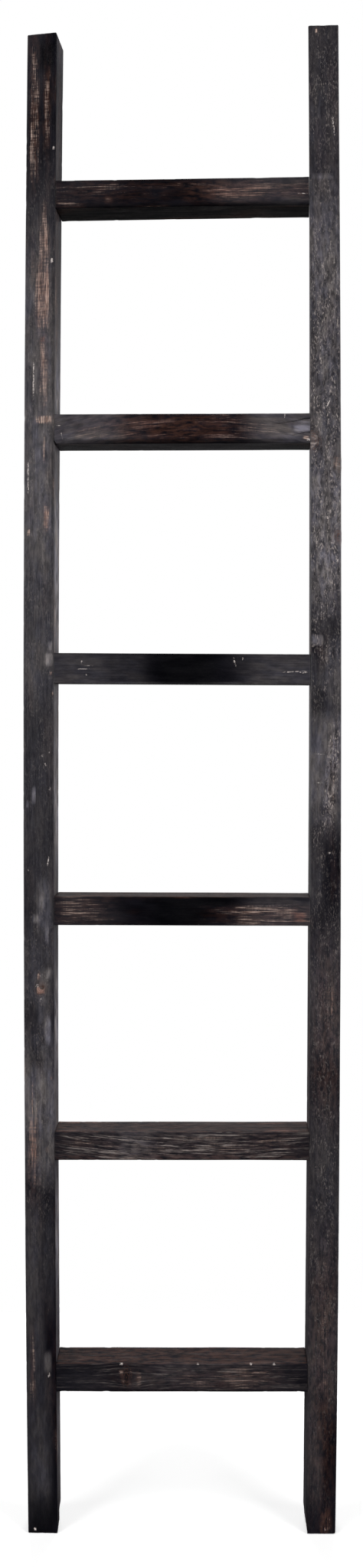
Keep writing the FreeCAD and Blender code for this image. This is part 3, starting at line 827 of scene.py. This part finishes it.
def make_screw(name, rail, turn, material):
    """A screw turned to its own stop, whose head has settled with the rail."""
    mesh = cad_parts[name].data
    points = np.array([vertex.co for vertex in mesh.vertices]) / MM
    middle = (points.min(axis=0) + points.max(axis=0)) / 2
    _, y, z = (points - middle).T
    z, y = turned(z, y, turn)
    points[:, 1:] = middle[1:] + np.stack([y, z], axis=1)
    faces = [list(face.vertices) for face in mesh.polygons]
    made = new_object(f"turned_{name}", rail.settle(points) * MM, faces, material)
    made.data.shade_flat()
    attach(made, "root")
    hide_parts(name)


# ---------------------------------------------------------------- materials


def colour(code):
    """A linear colour from a code such as 8a6f5a."""
    parts = (int(code[start : start + 2], 16) / 255 for start in (0, 2, 4))
    linear = [((part + 0.055) / 1.055) ** 2.4 if part > 0.04 else part / 12.92 for part in parts]
    return (*linear, 1.0)


class Graph:
    """The nodes of a material or of the world."""

    def __init__(self, owner):
        owner.use_nodes = True
        self.owner = owner
        self.tree = owner.node_tree
        self.tree.nodes.clear()

    def node(self, kind, inputs, **settings):
        """The outputs of a new node with its settings, and its inputs set or linked."""
        made = self.tree.nodes.new(f"ShaderNode{kind}")
        for name, value in settings.items():
            setattr(made, name, value)
        for name, value in inputs.items():
            if isinstance(value, bpy.types.NodeSocket):
                self.tree.links.new(value, made.inputs[name])
            else:
                made.inputs[name].default_value = value
        return made.outputs

    def calc(self, operation, *values):
        return self.node("Math", dict(enumerate(values)), operation=operation)[0]

    def vector_calc(self, operation, *values):
        return self.node("VectorMath", dict(enumerate(values)), operation=operation)[0]

    def product(self, first, *others):
        for other in others:
            first = self.calc("MULTIPLY", first, other)
        return first

    def total(self, first, *others):
        for other in others:
            first = self.calc("ADD", first, other)
        return first

    def span(self, share, limits):
        """From one limit to the other as a share goes from 0 to 1."""
        low, high = limits
        return self.calc("MULTIPLY_ADD", share, high - low, low)

    def rise(self, value, low, high, top=1.0):
        """From 0 to top as a value goes from low to high."""
        inputs = {"Value": value, "From Min": low, "From Max": high, "To Min": 0.0, "To Max": top}
        return self.node("MapRange", inputs, interpolation_type="SMOOTHSTEP")["Result"]

    def blend(self, share, first, second):
        """From the first colour to the second as a share goes from 0 to 1."""
        first, second = (colour(end) if isinstance(end, str) else end for end in (first, second))
        inputs = {MIX_SHARE: share, MIX_FIRST: first, MIX_SECOND: second}
        return self.node("Mix", inputs, data_type="RGBA")[MIX_RESULT]

    def fibres(self, place, across, along, detail, low, high):
        """Noise drawn out along the grain, from 0 to 1."""
        inputs = {"Vector": place, "Scale": (across, across, along)}
        stretched = self.node("Mapping", inputs)[0]
        inputs = {"Vector": stretched, "Scale": 1.0, "Detail": detail, "Roughness": NOISE_ROUGHNESS}
        return self.rise(self.node("TexNoise", inputs)["Fac"], low, high)

    def surface(self, inputs):
        shader = self.node("BsdfPrincipled", inputs)[0]
        self.node("OutputMaterial", {"Surface": shader})


class WornPaint(Graph):
    """Black paint over wood: worn through in streaks, hazed, scratched and chipped.

    Its haze also carries painted light, and its black and its splits carry painted shade.
    """

    def __init__(self, name, scratches, chatter_share, swirl_reach):
        super().__init__(bpy.data.materials.new(name))
        self.wear_and_painted_light = self.read_wear_and_painted_light()
        self.noises = self.draw_noises(scratches, swirl_reach)
        self.noises["worn"] = self.worn_through(chatter_share)
        self.noises["chips"] = self.chipped()
        self.haze_and_light = self.hazed_and_lit()
        surface = self.blend(self.noises["worn"], self.painted(), self.bare_wood())
        surface = self.blend(self.ringed(), surface, RING)
        surface = self.blend(self.noises["chips"], surface, CHIP)
        # Painted shade in the splits: their floors are made near black.
        surface = self.blend(self.rise(self.wear_and_painted_light["split"], *SPLIT_EDGE), surface, SPLIT_SHADE)
        inputs = {
            "Base Color": surface,
            "Roughness": self.roughness(),
            "Normal": self.bump(),
            "Specular IOR Level": SPECULAR,
        }
        self.surface(inputs)

    def read_wear_and_painted_light(self):
        """Each kind of wear, painted light and painted shade, from the attributes that carry them.
        """
        found = {}
        for layer, kinds in WEAR_AND_LIGHT_LAYERS.items():
            carried = self.node("Attribute", {}, attribute_name=layer)
            parts = self.node("SeparateColor", {0: carried["Color"]})
            found.update(zip(kinds, (*parts, carried["Alpha"])))
        return found

    def draw_noises(self, scratches, swirl_reach):
        """The noises in the paint, of which the mottle and the dashes swirl."""
        place = self.node("Attribute", {}, attribute_name="grain")["Vector"]
        found = {name: self.fibres(place, *shape) for name, shape in GRAIN_NOISES.items()}
        swirl = self.node("Mapping", {"Vector": place, "Scale": SWIRL_TURNS})[0]
        inputs = {"Vector": swirl, "Scale": 1.0, "Detail": SWIRL_DETAIL}
        swirl = self.node("TexNoise", inputs)["Color"]
        swirl = self.vector_calc("SUBTRACT", swirl, (0.5, 0.5, 0.5))
        swirl = self.vector_calc("MULTIPLY", swirl, (swirl_reach, swirl_reach, 0.0))
        swirled = self.vector_calc("ADD", place, swirl)
        found["mottle"] = self.fibres(swirled, *MOTTLE_NOISE)
        found["dashes"] = self.fibres(swirled, *scratches, *DASH_NOISE)
        return found

    def weighted(self, shares):
        """Noises added up, each times its share."""
        return self.total(*(self.product(self.noises[name], shares[name]) for name in shares))

    def spanned(self, name, limits):
        return self.span(self.noises[name], limits)

    def worn_through(self, chatter_share):
        """Where the wood shows. What the plane's chatter adds is taken from the long lines."""
        shares = {**STREAK_SHARES, "chatter": chatter_share}
        shares["lines"] -= chatter_share
        needed = self.span(self.wear_and_painted_light["tan"], WEAR_NEEDED)
        return self.rise(self.calc("SUBTRACT", self.weighted(shares), needed), *WEAR_EDGE)

    def bare_wood(self):
        wood = self.blend(self.noises["threads"], *WOOD)
        return self.blend(self.product(self.wear_and_painted_light["red"], RED_WOOD_SHARE), wood, RED_WOOD)

    def hazed_and_lit(self):
        """How much haze lies on the paint, with the painted light that it carries."""
        scratched = self.span(self.wear_and_painted_light["fine"], HAZE_SCRATCHED)
        uneven = self.product(self.spanned("mottle", HAZE_MOTTLED), scratched)
        lined = self.spanned("lines", HAZE_LINED)
        return self.product(self.wear_and_painted_light["grey"], self.total(uneven, HAZE_MEAN), lined)

    def painted(self):
        """The paint's colour: black and painted shade, rubbed brown, haze and painted light,
        scratched.
        """
        blotch, mottle = self.noises["blotch"], self.noises["mottle"]
        paint = self.blend(blotch, *PAINT)
        # Full black, which under and across the rungs and at the left foot is painted shade.
        paint = self.blend(self.product(self.wear_and_painted_light["black_and_shade"], BLACK_SHARE), paint, BLACK_AND_SHADE)
        rubbed = self.calc("MAXIMUM", self.wear_and_painted_light["tan"], self.wear_and_painted_light["red"])
        paint = self.blend(self.product(rubbed, mottle, RUBBED_SHARE), paint, RUBBED)
        # Haze, with the painted light and sheen that it carries.
        paint = self.blend(self.haze_and_light, paint, self.blend(blotch, *HAZE_AND_LIGHT))
        clumped = self.spanned("clumps", SCRATCH_CLUMPED)
        threaded = self.spanned("threads", SCRATCH_THREADED)
        scratch = self.product(self.wear_and_painted_light["fine"], self.noises["dashes"], clumped, threaded)
        return self.blend(scratch, paint, SCRATCH)

    def chipped(self):
        """Where a chip lays the bare wood open."""
        gritty = self.spanned("grit", CHIP_GRITTY)
        threaded = self.spanned("threads", CHIP_THREADED)
        bare = self.product(self.wear_and_painted_light["pale"], gritty, threaded)
        return self.rise(bare, *CHIP_EDGE, CHIP_COVER)

    def ringed(self):
        """The rings of the knots."""
        turns = self.product(self.wear_and_painted_light["knot"], RING_TURNS)
        turns = self.total(turns, self.product(self.noises["mottle"], RING_MOTTLED))
        rings = self.rise(self.calc("SINE", turns), *RING_EDGE)
        start = self.rise(self.wear_and_painted_light["knot"], *RING_START)
        return self.product(start, rings, self.noises["threads"], RING_SHARE)

    def roughness(self):
        worn = self.product(self.noises["worn"], WORN_ROUGHER)
        hazed_and_lit = self.product(self.haze_and_light, HAZE_ROUGHER)
        return self.total(self.spanned("blotch", ROUGHNESS), worn, hazed_and_lit)

    def bump(self):
        relief = self.weighted(RELIEF_SHARES)
        inputs = {"Height": relief, "Strength": BUMP_STRENGTH, "Distance": BUMP_HEIGHT}
        return self.node("Bump", inputs)[0]


def touched_steel():
    """Screw heads that were painted with the ladder, with the steel showing where a driver bit."""
    graph = Graph(bpy.data.materials.new("touched_steel"))
    place = graph.node("TexCoord", {})["Object"]
    inputs = {"Scale": STEEL_NOISE, "Detail": STEEL_DETAIL, "Roughness": NOISE_ROUGHNESS}
    grime = graph.node("TexNoise", {"Vector": place, **inputs})["Fac"]
    bright = graph.rise(grime, *STEEL_BRIGHT)
    inputs = {
        "Base Color": graph.blend(bright, *STEEL),
        "Metallic": bright,
        "Roughness": graph.rise(grime, *STEEL_ROUGH),
    }
    graph.surface(inputs)
    return graph.owner


# ---------------------------------------------------------------- studio


def make_camera():
    data = bpy.data.cameras.new("camera")
    data.sensor_width = SENSOR
    data.lens = SENSOR * FOCAL_LENGTH / IMAGE_LONG_SIDE
    data.shift_y = (AXIS_ROW - IMAGE_LONG_SIDE / 2) / IMAGE_LONG_SIDE
    camera = bpy.data.objects.new("camera", data)
    camera.location = CAMERA_PLACE
    turns = (90 + CAMERA_PITCH, CAMERA_ROLL, CAMERA_YAW)
    camera.rotation_euler = [math.radians(turn) for turn in turns]
    bpy.context.scene.collection.objects.link(camera)
    bpy.context.scene.camera = camera


def make_floor():
    """A white floor, which the paint doesn't mirror."""
    graph = Graph(bpy.data.materials.new("floor_white"))
    inputs = {
        "Base Color": colour(FLOOR_COLOUR),
        "Roughness": FLOOR_ROUGHNESS,
        "Emission Color": WHITE,
        "Emission Strength": FLOOR_GLOW,
    }
    graph.surface(inputs)
    near = [(-FLOOR_SIDE, FLOOR_FRONT, 0), (FLOOR_SIDE, FLOOR_FRONT, 0)]
    far = [(FLOOR_SIDE, FLOOR_BACK, 0), (-FLOOR_SIDE, FLOOR_BACK, 0)]
    floor = new_object("floor", np.array(near + far), [[0, 1, 2, 3]], graph.owner)
    floor.visible_glossy = False


def make_world():
    """A dim room with a bright backdrop behind the ladder. The camera sees it all white."""
    world = bpy.data.worlds.new("studio")
    bpy.context.scene.world = world
    graph = Graph(world)
    direction = graph.node("TexCoord", {})["Generated"]
    _, away, height = graph.node("SeparateXYZ", {0: direction})
    behind = graph.product(
        graph.rise(away, *BACKDROP_AWAY),
        graph.rise(height, *BACKDROP_FOOT),
        graph.rise(height, *BACKDROP_TOP),
    )
    light = graph.span(behind, (ROOM_LIGHT, BACKDROP_LIGHT))
    light = graph.calc("MAXIMUM", light, graph.node("LightPath", {})["Is Camera Ray"])
    background = graph.node("Background", {"Color": WHITE, "Strength": light})[0]
    graph.node("OutputWorld", {"Surface": background})


def make_softboxes():
    for name, place, aim, size, power, mirrored in SOFTBOXES:
        data = bpy.data.lights.new(name, "AREA")
        data.shape = "RECTANGLE"
        data.size, data.size_y = size
        data.energy = power
        lamp = bpy.data.objects.new(name, data)
        lamp.location = place
        lamp.rotation_euler = look_along(np.array(aim) - np.array(place))
        lamp.visible_glossy = mirrored
        bpy.context.scene.collection.objects.link(lamp)


def look_along(aim):
    """The turns that point a light's -Z axis along a direction."""
    flat = math.hypot(aim[0], aim[1])
    return (math.atan2(flat, -aim[2]), 0.0, math.atan2(-aim[0], aim[1]))


# ---------------------------------------------------------------- making

rail_paint = WornPaint("rail_paint", *RAIL_PAINT).owner
rung_paint = WornPaint("rung_paint", *RUNG_PAINT).owner
screw_steel = touched_steel()

timbers = {}
for seed, name in enumerate(RAILS + RUNGS, start=1):
    if name in RAILS:
        timbers[name] = make_timber(name, seed, rail_paint)
    else:
        timbers[name] = make_timber(name, seed, rung_paint)

for number, (rung, rail) in enumerate(itertools.product(RUNGS, RAILS)):
    side = rail.split("_")[0]
    make_screw(f"{rung}_{side}_screw", timbers[rail], SCREW_TURN * number, screw_steel)

make_camera()
make_floor()
make_world()
make_softboxes()
bpy.context.scene.view_settings.view_transform = "Standard"
